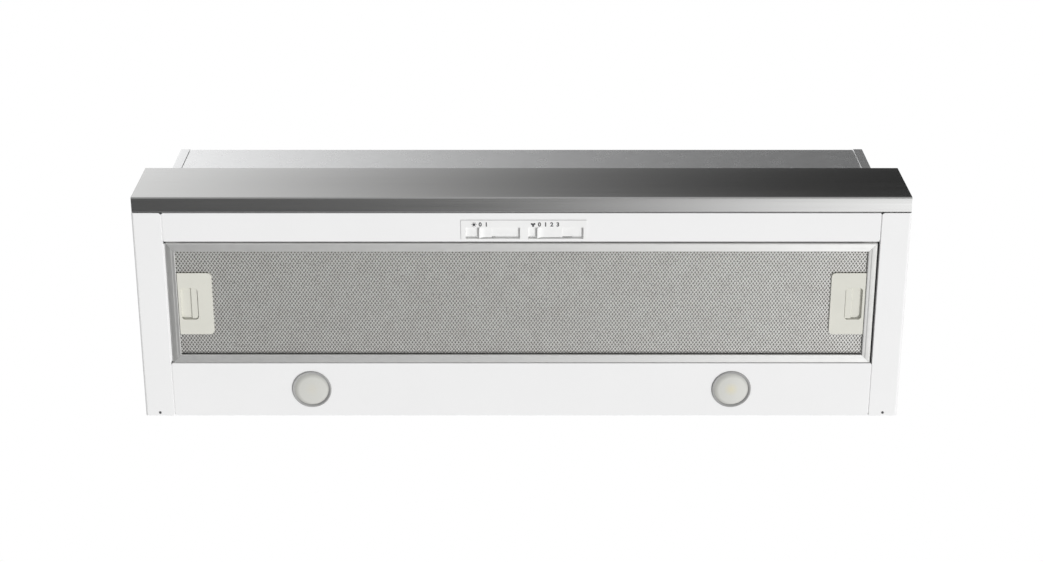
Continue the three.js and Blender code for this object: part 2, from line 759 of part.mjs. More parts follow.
onBothSides((add) => {
  add("housing_side", housingSide(), galvanised);
  add("side_cover", sideCover(), whitePaint);
  add("cover_screw", sideCoverScrew(), darkSteel);
  add("outer_rail", outerRail(), zincPlated);
  add("inner_rail", innerRail(), zincPlated);
  add("ball_cage", ballCage(), zincPlated);
  add("lamp_bezel", lampBezel(), lampRing);
  add("lamp_lens", lampLens(), frostedLens);
  add("lamp_can", lampCan(), darkSteel);
  add("fascia_end_cap", fasciaEndCap(), stainless);
  add("carriage_arm", carriageArm(), whitePaint);
  add("latch_plate", latchPlate(), ivoryPlastic);
  add("latch_tab", latchTab(), ivoryPlastic);
});

export default hood;
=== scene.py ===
"""The looks of a slide-out cooker hood, built on its CAD frame and seen from in front and below.

Everything is in metres in the frame's own axes: X across, Y back to the wall and Z up, with the
cupboard's underside at Z = 0.
"""

import json
import math

import bmesh
import bpy
from mathutils import Matrix, Vector

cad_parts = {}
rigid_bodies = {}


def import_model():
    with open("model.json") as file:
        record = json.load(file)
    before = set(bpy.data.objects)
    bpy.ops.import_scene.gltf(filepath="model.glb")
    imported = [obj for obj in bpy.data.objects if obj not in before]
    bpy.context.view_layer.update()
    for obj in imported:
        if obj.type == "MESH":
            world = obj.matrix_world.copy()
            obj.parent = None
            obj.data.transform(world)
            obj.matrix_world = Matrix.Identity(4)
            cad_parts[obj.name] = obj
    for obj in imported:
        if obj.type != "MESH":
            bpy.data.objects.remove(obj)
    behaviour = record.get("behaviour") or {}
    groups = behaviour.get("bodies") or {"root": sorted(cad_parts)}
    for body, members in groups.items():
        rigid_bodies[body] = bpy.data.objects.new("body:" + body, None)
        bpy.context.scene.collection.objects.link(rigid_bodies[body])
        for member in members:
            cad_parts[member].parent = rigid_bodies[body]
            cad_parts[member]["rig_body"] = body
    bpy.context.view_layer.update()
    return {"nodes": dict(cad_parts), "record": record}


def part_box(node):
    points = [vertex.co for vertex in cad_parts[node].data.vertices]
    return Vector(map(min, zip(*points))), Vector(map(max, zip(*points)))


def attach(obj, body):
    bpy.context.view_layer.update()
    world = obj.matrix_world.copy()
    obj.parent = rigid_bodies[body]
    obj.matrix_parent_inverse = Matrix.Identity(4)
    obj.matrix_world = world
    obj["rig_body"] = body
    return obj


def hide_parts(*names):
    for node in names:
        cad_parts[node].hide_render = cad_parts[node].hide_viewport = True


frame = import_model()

MM = 0.001
nodes = frame["nodes"]

# ---------------------------------------------------------------- materials


class Surface:
    """A Principled material, varied by patterns in the object's own coordinates."""

    def __init__(self, name, color, roughness, metallic=0.0, **sockets):
        self.material = bpy.data.materials.new(name)
        self.material.use_nodes = True
        self.tree = self.material.node_tree
        self.shader = self.tree.nodes["Principled BSDF"]
        self.color = color
        self.shader.inputs["Base Color"].default_value = (*color, 1)
        self.shader.inputs["Roughness"].default_value = roughness
        self.shader.inputs["Metallic"].default_value = metallic
        for socket, value in sockets.items():
            self.shader.inputs[socket.replace("_", " ")].default_value = value
        self.normal = None

    def node(self, kind, **inputs):
        made = self.tree.nodes.new("ShaderNode" + kind)
        for socket, value in inputs.items():
            made.inputs[socket.replace("_", " ")].default_value = value
        return made

    def link(self, output, target):
        self.tree.links.new(output, target)

    def placed(self, stretch):
        """The object's coordinates, multiplied by stretch: the number of pattern cells in a metre."""
        mapping = self.node("Mapping", Scale=stretch)
        self.link(self.node("TexCoord").outputs["Object"], mapping.inputs["Vector"])
        return mapping.outputs["Vector"]

    def noise(self, stretch, detail=3.0):
        texture = self.node("TexNoise", Scale=1.0, Detail=detail, Roughness=0.55)
        self.link(self.placed(stretch), texture.inputs["Vector"])
        return texture.outputs["Fac"]

    def around(self, centre, radius):
        """1 at centre, falling smoothly to 0 at radius."""
        mapping = self.node("Mapping", Location=[-c / radius for c in centre], Scale=(1 / radius,) * 3)
        self.link(self.node("TexCoord").outputs["Object"], mapping.inputs["Vector"])
        ball = self.node("TexGradient")
        ball.gradient_type = "SPHERICAL"
        self.link(mapping.outputs["Vector"], ball.inputs["Vector"])
        return ball.outputs["Fac"]

    def ranged(self, pattern, low, high, first=0.3, last=0.7):
        limits = self.node("MapRange", From_Min=first, From_Max=last, To_Min=low, To_Max=high)
        self.link(pattern, limits.inputs["Value"])
        return limits.outputs["Result"]

    def shaded(self, pattern, low, high, first, last):
        """The colour so far, times a number that runs from low to high as the pattern rises."""
        coloured = self.shader.inputs["Base Color"].links[0].from_socket
        product = self.tree.nodes.new("ShaderNodeVectorMath")
        product.operation = "MULTIPLY"
        self.link(coloured, product.inputs[0])
        self.link(self.ranged(pattern, low, high, first, last), product.inputs[1])
        self.link(product.outputs[0], self.shader.inputs["Base Color"])
        return self

    def tinted(self, pattern, low, high, first=0.3, last=0.7):
        """The colour runs from low to high times its own value as the pattern rises."""
        factor = self.ranged(pattern, 0.0, 1.0, first, last)
        blend = self.tree.nodes.new("ShaderNodeMix")
        blend.data_type = "RGBA"
        for slot, share in ((6, low), (7, high)):
            shade = share if isinstance(share, tuple) else (share,) * 3
            color = [min(c * s, 1.0) for c, s in zip(self.color, shade)]
            blend.inputs[slot].default_value = (*color, 1)
        self.link(factor, blend.inputs[0])
        self.link(blend.outputs[2], self.shader.inputs["Base Color"])
        return self

    def polished(self, pattern, low, high, first=0.3, last=0.7):
        """The roughness runs from low to high as the pattern rises."""
        self.link(self.ranged(pattern, low, high, first, last), self.shader.inputs["Roughness"])
        return self

    def embossed(self, pattern, depth):
        """The surface rises by depth as the pattern does."""
        bump = self.node("Bump", Strength=1.0, Distance=depth)
        self.link(pattern, bump.inputs["Height"])
        if self.normal:
            self.link(self.normal, bump.inputs["Normal"])
        self.normal = bump.outputs["Normal"]
        self.link(self.normal, self.shader.inputs["Normal"])
        return self


def brushed_stainless():
    steel = Surface("brushed stainless", (0.60, 0.60, 0.595), 0.22, metallic=1.0)
    grain = steel.noise((9, 2600, 2600), detail=2.0)
    steel.embossed(grain, 0.006 * MM).polished(steel.noise((5, 900, 900)), 0.19, 0.25)
    return steel.tinted(steel.noise((3, 500, 500)), 0.975, 1.02).material


def galvanised_steel():
    steel = Surface("galvanised steel", (0.94, 0.945, 0.95), 0.27, metallic=0.82)
    spangle = steel.noise((90, 90, 90), detail=1.0)
    steel.tinted(spangle, 0.985, 1.01).polished(steel.noise((60, 60, 60)), 0.24, 0.28)
    return steel.embossed(steel.noise((900, 900, 900)), 0.001 * MM).material


def zinc_plate():
    zinc = Surface("zinc plate", (0.66, 0.67, 0.69), 0.3, metallic=1.0)
    zinc.tinted(zinc.noise((90, 90, 90)), (0.94, 0.95, 1.0), (1.04, 1.03, 0.98))
    return zinc.polished(zinc.noise((400, 60, 400)), 0.22, 0.4).material


def dark_steel():
    steel = Surface("dark steel", (0.15, 0.15, 0.155), 0.42, metallic=0.7)
    steel.polished(steel.noise((300, 300, 300)), 0.34, 0.5)
    return steel.tinted(steel.noise((60, 60, 60)), 0.85, 1.2).material


def filter_aluminium(name, color):
    aluminium = Surface(name, color, 0.35, metallic=0.8)
    aluminium.embossed(aluminium.noise((900, 900, 900), detail=2.0), 0.004 * MM)
    aluminium.polished(aluminium.noise((120, 120, 120)), 0.32, 0.38)
    return aluminium.tinted(aluminium.noise((25, 25, 25)), 0.98, 1.01).material


def expanded_aluminium(name, color):
    aluminium = Surface(name, color, 0.31, metallic=0.6)
    aluminium.tinted(aluminium.noise((70, 70, 70)), (0.95, 0.94, 0.93), (1.04, 1.04, 1.03))
    return aluminium.polished(aluminium.noise((500, 500, 500)), 0.25, 0.37).material


def white_paint():
    paint = Surface("white powder coat", (0.86, 0.86, 0.86), 0.4)
    paint.embossed(paint.noise((420, 420, 420), detail=2.0), 0.006 * MM)
    paint.polished(paint.noise((150, 150, 150)), 0.37, 0.43)
    return paint.tinted(paint.noise((12, 12, 12)), 0.99, 1.005).material


def white_plastic():
    plastic = Surface("white plastic", (0.86, 0.86, 0.855), 0.28)
    plastic.embossed(plastic.noise((1500, 1500, 1500), detail=2.0), 0.006 * MM)
    return plastic.tinted(plastic.noise((60, 60, 60)), 0.985, 1.01).material


def ivory_plastic():
    plastic = Surface("ivory plastic", (0.70, 0.695, 0.63), 0.42)
    plastic.embossed(plastic.noise((1800, 1800, 1800), detail=2.0), 0.015 * MM)
    plastic.polished(plastic.noise((200, 200, 200)), 0.38, 0.5)
    return plastic.tinted(plastic.noise((40, 40, 40)), 0.975, 1.015).material


def moulded_plastic(name, color, roughness):
    plastic = Surface(name, color, roughness)
    plastic.embossed(plastic.noise((1600, 1600, 1600), detail=2.0), 0.02 * MM)
    plastic.polished(plastic.noise((80, 80, 80)), roughness - 0.07, roughness + 0.07)
    return plastic.tinted(plastic.noise((30, 30, 30)), 0.88, 1.12).material


def frosted_lens(name, centre, glow):
    """A milky lens with the light source showing through, faint and wide, round its centre.

    It is darker towards its edge, and more so in front and on the left: painted shade, as from the ring
    and a light on the right.
    """
    lens = Surface(name, (0.64, 0.64, 0.605), 0.32, Coat_Weight=0.4, Coat_Roughness=0.12)
    lens.embossed(lens.noise((1400, 1400, 1400), detail=2.0), 0.02 * MM)
    glow_radius, shade_radius, shift = 9 * MM, 20.8 * MM, 1.6 * MM
    lens.tinted(lens.around(centre, glow_radius), 1.0, glow, 0.0, 1.0)
    # The painted shade is centred off towards the right and rear, so it darkens the front and left edge
    # most.
    shade_centre = (centre[0] + shift, centre[1] + shift, centre[2])
    return lens.shaded(lens.around(shade_centre, shade_radius), 0.7, 1.0, 0.0, 0.22).material


MATERIALS = {
    "brushed_stainless": brushed_stainless(),
    "galvanised_steel": galvanised_steel(),
    "zinc_plated_steel": zinc_plate(),
    "dark_steel": dark_steel(),
    "filter_aluminium": filter_aluminium("rolled aluminium", (0.93, 0.93, 0.915)),
    "expanded_aluminium": expanded_aluminium("expanded aluminium", (0.97, 0.962, 0.94)),
    "white_paint": white_paint(),
    "white_plastic": white_plastic(),
    "ivory_plastic": ivory_plastic(),
    "black_plastic": moulded_plastic("black plastic", (0.022, 0.022, 0.024), 0.45),
    "grey_plastic": moulded_plastic("grey plastic", (0.17, 0.18, 0.185), 0.48),
    "lamp_ring": moulded_plastic("lamp ring", (0.36, 0.36, 0.355), 0.35),
}
# Painted shade: the side rails are the same aluminium as the front and rear rails, made darker as they
# catch less light.
painted_shade_side_rail = filter_aluminium("rolled aluminium, side rails, painted shade", (0.73, 0.73, 0.715))
# Painted shade: the layers behind the front one are the same aluminium, made dark as they lie in its
# shade.
painted_shade_layer = expanded_aluminium("expanded aluminium, painted shade", (0.24, 0.236, 0.225))
print_ink = moulded_plastic("printed marks", (0.06, 0.06, 0.065), 0.5)
slot_of = {entry["node"]: entry["material_slot"] for entry in frame["record"]["subparts"]}

# ---------------------------------------------------------------- pieces


def body_of(node):
    return nodes[node]["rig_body"]


def add_piece(
    name, mesh, body, slot, material=None, replaced=(), smooth_below=32, flat_faces=False
):
    """Puts a finished mesh on a body, smooth except at edges sharper than smooth_below degrees.

    flat_faces keeps large faces evenly shaded, and leaves the bending to the narrow ones round them.
    """
    mesh.materials.append(material or MATERIALS[slot])
    mesh.shade_smooth()
    mesh.set_sharp_from_angle(angle=math.radians(smooth_below))
    piece = bpy.data.objects.new(name, mesh)
    bpy.context.scene.collection.objects.link(piece)
    if flat_faces:
        weighted = piece.modifiers.new("flat faces", "WEIGHTED_NORMAL")
        weighted.mode = "FACE_AREA"
        weighted.keep_sharp = True
    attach(piece, body)
    if replaced:
        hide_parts(*replaced)


def stand_in(node, mesh, **options):
    """A detailed mesh in place of one CAD node."""
    add_piece(node + "_skin", mesh, body_of(node), slot_of[node], replaced=(node,), **options)


def from_bmesh(shape):
    mesh = bpy.data.meshes.new("mesh")
    bmesh.ops.recalc_face_normals(shape, faces=shape.faces)
    shape.to_mesh(mesh)
    shape.free()
    return mesh


def rounded_copy(node, radius):
    """The CAD node's own shape, with its flat faces made whole and its sharp edges rounded."""
    shape = bmesh.new()
    shape.from_mesh(nodes[node].data)
    bmesh.ops.remove_doubles(shape, verts=shape.verts, dist=1e-6)
    flat, sharp = math.radians(1), math.radians(35)
    bmesh.ops.dissolve_limit(shape, angle_limit=flat, verts=shape.verts, edges=shape.edges)
    edges = [e for e in shape.edges if e.is_manifold and e.calc_face_angle(0) > sharp]
    bmesh.ops.bevel(
        shape, geom=edges, offset=radius, segments=2, profile=0.5, affect="EDGES", clamp_overlap=True
    )
    return from_bmesh(shape)


def evaluated_mesh(piece):
    """A new mesh of the object as its curve or its modifiers make it."""
    bpy.context.view_layer.update()
    return bpy.data.meshes.new_from_object(piece.evaluated_get(bpy.context.evaluated_depsgraph_get()))


def loft(rings, closed_ends=True):
    """A skin over rings of equally many points, each ring closed."""
    count = len(rings[0])
    verts = [point for ring in rings for point in ring]
    faces = []
    for r in range(len(rings) - 1):
        for i in range(count):
            j = (i + 1) % count
            faces.append((r * count + i, r * count + j, (r + 1) * count + j, (r + 1) * count + i))
    if closed_ends:
        faces.append(tuple(range(count - 1, -1, -1)))
        faces.append(tuple((len(rings) - 1) * count + i for i in range(count)))
    mesh = bpy.data.meshes.new("loft")
    mesh.from_pydata(verts, [], faces)
    shape = bmesh.new()
    shape.from_mesh(mesh)
    bpy.data.meshes.remove(mesh)
    return from_bmesh(shape)


def bar(low, high):
    """A box between two corners."""
    ring = [(low[0], low[1]), (high[0], low[1]), (high[0], high[1]), (low[0], high[1])]
    return loft([[(x, y, z) for x, y in ring] for z in (low[2], high[2])])


def round_outline(x, y, radius, steps):
    angles = (2 * math.pi * i / steps for i in range(steps))
    return [(x + radius * math.cos(a), y + radius * math.sin(a)) for a in angles]


def turned(profile, centre, steps):
    """Rings from a profile of (radius, z) points turned about the vertical through centre."""
    rings = []
    for radius, z in profile:
        rings.append([(x, y, z) for x, y in round_outline(centre[0], centre[1], radius, steps)])
    return rings


def turned_ring(profile, centre):
    """A skin from a profile that is a closed loop of (radius, z) points, turned about centre."""
    rings, steps = [], 96
    for i in range(steps):
        angle = 2 * math.pi * i / steps
        x, y = math.cos(angle), math.sin(angle)
        rings.append([(centre[0] + r * x, centre[1] + r * y, z) for r, z in profile])
    return loft([*rings, rings[0]], closed_ends=False)


def leftward(direction):
    """The direction turned a quarter turn to the left."""
    return Vector((-direction.y, direction.x))


def folded_outline(path, thickness, radii):
    """The section of a sheet folded to the left along the path of its outer corners.

    radii gives each fold's outer radius in turn.
    """
    steps = 5
    corners = [Vector(point) for point in path]
    outer, inner = [corners[0]], []
    first = (corners[1] - corners[0]).normalized()
    inner.append(corners[0] + leftward(first) * thickness)
    for before, corner, after, radius in zip(corners, corners[1:], corners[2:], radii):
        coming = (corner - before).normalized()
        going = (after - corner).normalized()
        centre = corner + (going - coming) * radius
        for i in range(steps + 1):
            angle = math.pi / 2 * i / steps
            out = -leftward(coming) * math.cos(angle) - leftward(going) * math.sin(angle)
            outer.append(centre + out * radius)
            inner.append(centre + out * (radius - thickness))
    last = (corners[-1] - corners[-2]).normalized()
    outer.append(corners[-1])
    inner.append(corners[-1] + leftward(last) * thickness)
    return outer + inner[::-1]


# ---------------------------------------------------------------- fascia


def build_fascia():
    low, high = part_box("fascia")
    upper_return, lower_return = 8 * MM, 10 * MM
    sheet, fold = 1.0 * MM, 1.7 * MM
    path = [
        (high.y, high.z - upper_return),
        (high.y, high.z),
        (low.y, high.z),
        (low.y, low.z),
        (high.y, low.z),
        (high.y, low.z + lower_return),
    ]
    outline = folded_outline(path, sheet, [fold] * (len(path) - 2))
    stand_in("fascia", loft([[(x, y, z) for y, z in outline] for x in (low.x, high.x)]))


# ---------------------------------------------------------------- side covers


def build_side_cover(side, sign):
    """A folded white trough, whose bottom has a round inner front corner."""
    low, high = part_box(f"side_cover_{side}")
    seam, outer = sorted((abs(low.x), abs(high.x)))
    housing_gap, inner_wall = 1 * MM, 7 * MM
    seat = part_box("housing_side_right")[1].x + housing_gap
    wall_z = low.z + inner_wall
    path = [(seam, wall_z), (seam, low.z), (outer, low.z), (outer, high.z), (seat, high.z)]
    sheet, seam_fold, outer_fold, seat_fold = 0.9 * MM, 1.0 * MM, 3.0 * MM, 1.0 * MM
    outline = folded_outline(path, sheet, (seam_fold, outer_fold, seat_fold))
    trough = loft([[(sign * x, y, z) for x, z in outline] for y in (low.y, high.y)])
    corner, steps = 4 * MM, 8
    angles = (math.pi / 2 * i / steps for i in range(steps + 1))
    middle = Vector((seam + corner, low.y + corner))
    arc = [(middle.x - corner * math.sin(a), middle.y - corner * math.cos(a)) for a in angles]
    past = 1 * MM
    notch = [(seam - past, middle.y), (seam - past, low.y - past), (middle.x, low.y - past), *arc]
    above = 2 * MM
    tool = flat_shape([[(sign * x, y) for x, y in notch]], wall_z + above, inner_wall + above + 3 * MM)
    stand_in(f"side_cover_{side}", cut_away(trough, tool), smooth_below=50, flat_faces=True)


# ---------------------------------------------------------------- white panels


def build_panel_lips():
    """Narrow lips that stand back at both ends of the white panels, and half close their seams."""
    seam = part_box("side_cover_right")[0].x
    overlap, clearance, sheet, inset = 1 * MM, 0.1 * MM, 0.8 * MM, 1.5 * MM
    depths = {"control_strip": (0.3 * MM, 1.2 * MM), "lamp_panel": (0.3 * MM, 0.3 * MM)}
    for node, (left_depth, right_depth) in depths.items():
        low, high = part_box(node)
        y0, y1 = low.y + inset, high.y - inset
        for side, sign, depth in (("left", -1, left_depth), ("right", 1, right_depth)):
            x0, x1 = sorted((sign * (high.x - overlap), sign * (seam - clearance)))
            lip = bar((x0, y0, low.z + depth), (x1, y1, low.z + depth + sheet))
            add_piece(f"{node}_lip_{side}", lip, body_of(node), slot_of[node], replaced=(node,))
    low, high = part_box("lamp_panel")
    depth, rear_overlap, reach = 0.1 * MM, 2 * MM, 1.2 * MM
    start = (low.x + overlap, high.y - rear_overlap, low.z + depth)
    end = (high.x - overlap, high.y + reach, low.z + depth + sheet)
    add_piece(
        "lamp_panel_lip_rear", bar(start, end), body_of("lamp_panel"), slot_of["lamp_panel"],
        replaced=("lamp_panel",),
    )


def build_filter_guide():
    """A sloping guide on the left side cover fills the gap beside the filter there."""
    cover_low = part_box("side_cover_right")[0]
    low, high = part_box("filter_frame")
    bottom, top, edge, inset = cover_low.z + 0.7 * MM, cover_low.z + 4.2 * MM, 0.4 * MM, 1 * MM
    outer, inner = cover_low.x + 0.2 * MM, high.x + 0.3 * MM
    # Each point is (distance left of the middle, height).
    section = [(outer, bottom), (outer, top), (inner, top), (inner, top - edge)]
    rings = [[(-x, y, z) for x, z in section] for y in (low.y + inset, high.y - inset)]
    add_piece("filter_guide", loft(rings), "hood_body", "white_paint")


# ---------------------------------------------------------------- grease filters

# Half the width and half the depth of one diamond of expanded metal.
DIAMOND = (1.95 * MM, 2.79 * MM)


def build_filter_frame():
    """Four mitred lengths of one rolled channel, with a shallow groove along the middle of its face."""
    low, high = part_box("filter_frame")
    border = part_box("filter_mesh")[0].x - low.x
    depth = high.z - low.z
    groove = border - 4.3 * MM
    # Each point is (distance in from the frame's outer edge, height above its face).
    section = [(0.0, depth), (0.0, 1.0 * MM)]
    section += [((1 - math.cos(a)) * MM, (1 - math.sin(a)) * MM) for a in (0.5, 1.0, math.pi / 2)]
    section += [(groove - 0.6 * MM, 0.0), (groove, 0.04 * MM), (groove + 0.6 * MM, 0.13 * MM)]
    section += [(groove + 1.2 * MM, 0.15 * MM), (border - 0.7 * MM, 0.12 * MM)]
    section += [(border - 0.2 * MM, 0.3 * MM), (border, 0.7 * MM), (border, 2.6 * MM)]
    section += [(border - 2.5 * MM, 3.4 * MM), (border - 2.5 * MM, depth)]
    plan = [(low.x, low.y), (high.x, low.y), (high.x, high.y), (low.x, high.y)]
    corners = [Vector(point) for point in plan]
    inward = [(1, 1), (-1, 1), (-1, -1), (1, -1)]
    seam = 0.1 * MM
    for i, side in enumerate(("front", "right", "rear", "left")):
        j = (i + 1) % 4
        shift = (corners[j] - corners[i]).normalized() * seam
        rings = []
        for end, (in_x, in_y) in ((corners[i] + shift, inward[i]), (corners[j] - shift, inward[j])):
            rings.append([(end.x + w * in_x, end.y + w * in_y, low.z + z) for w, z in section])
        # The left and right lengths take the side rails' darker aluminium, which is painted shade.
        add_piece(
            f"filter_frame_{side}", loft(rings), "grease_filter", "filter_aluminium",
            painted_shade_side_rail if side in ("left", "right") else None,
            replaced=("filter_frame",), smooth_below=50, flat_faces=True,
        )


def diamond_mesh(low, high, z, kept, lift, wall):
    """Expanded metal: diamonds staggered in rows, with strands that all tilt the same way.

    lift is how far a strand's edge rises on one side of a hole and drops on the other, and wall is the
    depth of the holes' sides, or 0 for none.
    """
    half_x, half_y = DIAMOND
    strand_x, strand_y = 0.68 * MM, 0.97 * MM
    columns = int((high[0] - low[0]) / half_x)
    rows = int((high[1] - low[1]) / half_y)
    verts, faces, knots = [], [], {}

    def knot(i, j):
        if (i, j) not in knots:
            knots[i, j] = len(verts)
            verts.append((low[0] + i * half_x, low[1] + j * half_y, z))
        return knots[i, j]

    for j in range(1, rows):
        for i in range(1 + (j % 2 == 1), columns, 2):
            x, y = low[0] + i * half_x, low[1] + j * half_y
            if not kept(x, y):
                continue
            outer = [knot(i - 1, j), knot(i, j + 1), knot(i + 1, j), knot(i, j - 1)]
            edge = [
                (x - half_x + strand_x, y, z + lift),
                (x, y + half_y - strand_y, z),
                (x + half_x - strand_x, y, z - lift),
                (x, y - half_y + strand_y, z),
            ]
            first = len(verts)
            verts.extend(edge)
            for k in range(4):
                n = (k + 1) % 4
                faces.append((outer[k], first + k, first + n, outer[n]))
            if wall:
                verts.extend((px, py, pz + wall) for px, py, pz in edge)
                for k in range(4):
                    n = (k + 1) % 4
                    faces.append((first + k, first + 4 + k, first + 4 + n, first + n))
    mesh = bpy.data.meshes.new("diamonds")
    mesh.from_pydata(verts, [], faces)
    return mesh


def build_filter_mesh():
    """Two layers of expanded metal and a crinkled sheet behind them, left open round the latches."""
    low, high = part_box("filter_mesh")
    rim = 1.2 * MM
    area_low, area_high = (low.x - rim, low.y - rim), (high.x + rim, high.y + rim)
    plate_low, plate_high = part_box("latch_plate_right")
    tucked = 3 * MM
    inner_x = plate_low.x + tucked

    def outside_latches(x, y):
        return abs(x) < inner_x or not plate_low.y + tucked < y < plate_high.y - tucked

    front_z, middle_z, back_z = low.z + 0.35 * MM, low.z + 1.2 * MM, low.z + 2.2 * MM
    layers = {"body": "grease_filter", "slot": "expanded_aluminium", "replaced": ("filter_mesh",)}
    front = diamond_mesh(area_low, area_high, front_z, outside_latches, -0.12 * MM, 0.4 * MM)
    add_piece("filter_mesh_front", front, smooth_below=20, **layers)
    middle_low = (area_low[0] + DIAMOND[0], area_low[1])
    middle = diamond_mesh(middle_low, area_high, middle_z, outside_latches, 0.2 * MM, 0)
    # The middle layer and the crinkled sheet behind it take the dark aluminium, which is painted shade.
    add_piece("filter_mesh_middle", middle, material=painted_shade_layer, smooth_below=20, **layers)
    back = build_backing(area_low, area_high, back_z, inner_x, plate_low.y, plate_high.y)
    add_piece("filter_mesh_back", back, material=painted_shade_layer, **layers)


def build_backing(low, high, z, inner_x, gap_low, gap_high):
    """The rearmost layer, crinkled, in one sheet round the two latches."""
    step, crinkle = 4 * MM, 0.35 * MM
    columns, rows = int((high[0] - low[0]) / step), int((high[1] - low[1]) / step)
    shape = bmesh.new()
    grid = {}
    for i in range(columns + 1):
        for j in range(rows + 1):
            x, y = low[0] + i * step, low[1] + j * step
            wave = math.sin(i * 2.1) * math.cos(j * 1.7)
            grid[i, j] = shape.verts.new((x, y, z + crinkle * wave))
    for i in range(columns):
        for j in range(rows):
            x, y = low[0] + (i + 0.5) * step, low[1] + (j + 0.5) * step
            if abs(x) > inner_x and gap_low < y < gap_high:
                continue
            shape.faces.new((grid[i, j], grid[i, j + 1], grid[i + 1, j + 1], grid[i + 1, j]))
    return from_bmesh(shape)


def build_inner_mesh():
    low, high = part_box("inner_filter_mesh")
    corners = (low.x, low.y), (high.x, high.y)
    front = diamond_mesh(*corners, low.z + 0.4 * MM, lambda x, y: True, -0.12 * MM, 0)
    stand_in("inner_filter_mesh", front, smooth_below=20)
    # The crinkled sheet behind takes the dark aluminium, which is painted shade.
    back = build_backing(*corners, low.z + 1.2 * MM, high.x, low.y, high.y)
    add_piece(
        "inner_filter_backing", back, body_of("inner_filter_mesh"), slot_of["inner_filter_mesh"],
        painted_shade_layer, ("inner_filter_mesh",),
    )


# ---------------------------------------------------------------- switches


def build_text(name, text, x, y, z, size):
    """A printed number, laid face down on a surface."""
    curve = bpy.data.curves.new(name, "FONT")
    curve.body = text
    curve.size = size
    curve.align_x = "CENTER"
    curve.align_y = "CENTER"
    curve.extrude = 0.02 * MM
    curve.offset = 0.3 * MM
    made = bpy.data.objects.new(name + "_curve", curve)
    bpy.context.scene.collection.objects.link(made)
    made.matrix_world = Matrix.Translation((x, y, z)) @ Matrix.Rotation(math.pi, 4, "X")
    mesh = evaluated_mesh(made)
    mesh.transform(made.matrix_world)
    bpy.data.objects.remove(made)
    add_piece(name, mesh, "carriage", "black_plastic", print_ink)


def flat_shape(outlines, z, depth):
    """Thin prisms of closed outlines of (x, y) points, joined into one mesh."""
    shape = bmesh.new()
    for outline in outlines:
        face = shape.faces.new([shape.verts.new((x, y, z)) for x, y in outline])
        raised = bmesh.ops.extrude_face_region(shape, geom=[face])["geom"]
        moved = [v for v in raised if isinstance(v, bmesh.types.BMVert)]
        bmesh.ops.translate(shape, verts=moved, vec=(0, 0, -depth))
    return from_bmesh(shape)


def blade(x, y, angle, length, width):
    """A leaf shape that starts at (x, y) and points along angle."""
    along = Vector((math.cos(angle), math.sin(angle)))
    across = leftward(along)
    points, steps = [], 10
    for i in range(steps):
        turn = 2 * math.pi * i / steps
        point = along * (0.5 + 0.5 * math.cos(turn)) * length + across * math.sin(turn) * width
        points.append((x + point.x, y + point.y))
    return points


def build_slit_webs():
    """Each switch's slit is closed where its stem never comes, and narrowed where it does."""
    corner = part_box("switch_bezel")[0]
    y0, y1 = corner.y + 21.1 * MM, corner.y + 22.4 * MM
    floor, sheet, edge = corner.z + 3.6 * MM, 1.2 * MM, 0.22 * MM
    inset, stem_half = 1 * MM, 4.5 * MM
    # Where each switch's recess starts and ends along X, as in the CAD.
    recess_ends = {
        "light_slider": (-64.5 * MM, -1.8 * MM),
        "fan_slider": (7.6 * MM, 71.5 * MM),
    }
    travels = {"light_slider": 7.0 * MM, "fan_slider": 21.6 * MM}
    for node, (recess_low, recess_high) in recess_ends.items():
        low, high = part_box(node)
        middle = (low.x + high.x) / 2
        x0, x1 = recess_low + inset, middle - stem_half
        x2, x3 = middle + stem_half + travels[node], recess_high - inset
        parts = {
            "left": (x0, x1, y0, y1),
            "right": (x2, x3, y0, y1),
            "front": (x1, x2, y0, y0 + edge),
            "rear": (x1, x2, y1 - edge, y1),
        }
        for end, (low_x, high_x, low_y, high_y) in parts.items():
            web = bar((low_x, low_y, floor), (high_x, high_y, floor + sheet))
            add_piece(f"{node}_web_{end}", web, "carriage", slot_of["switch_bezel"])


def build_latch_webs():
    """Each latch plate's slot is closed beside the tab's stem."""
    start, end, half, sheet = 24.6 * MM, 26.2 * MM, 5.4 * MM, 1.2 * MM
    for side, sign in (("left", -1), ("right", 1)):
        low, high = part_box(f"latch_plate_{side}")
        near = min(abs(low.x), abs(high.x))
        x0, x1 = sorted((sign * (near + start), sign * (near + end)))
        middle, floor = (low.y + high.y) / 2, low.z + 3.8 * MM
        web = bar((x0, middle - half, floor), (x1, middle + half, floor + sheet))
        add_piece(f"latch_web_{side}", web, "grease_filter", "ivory_plastic")


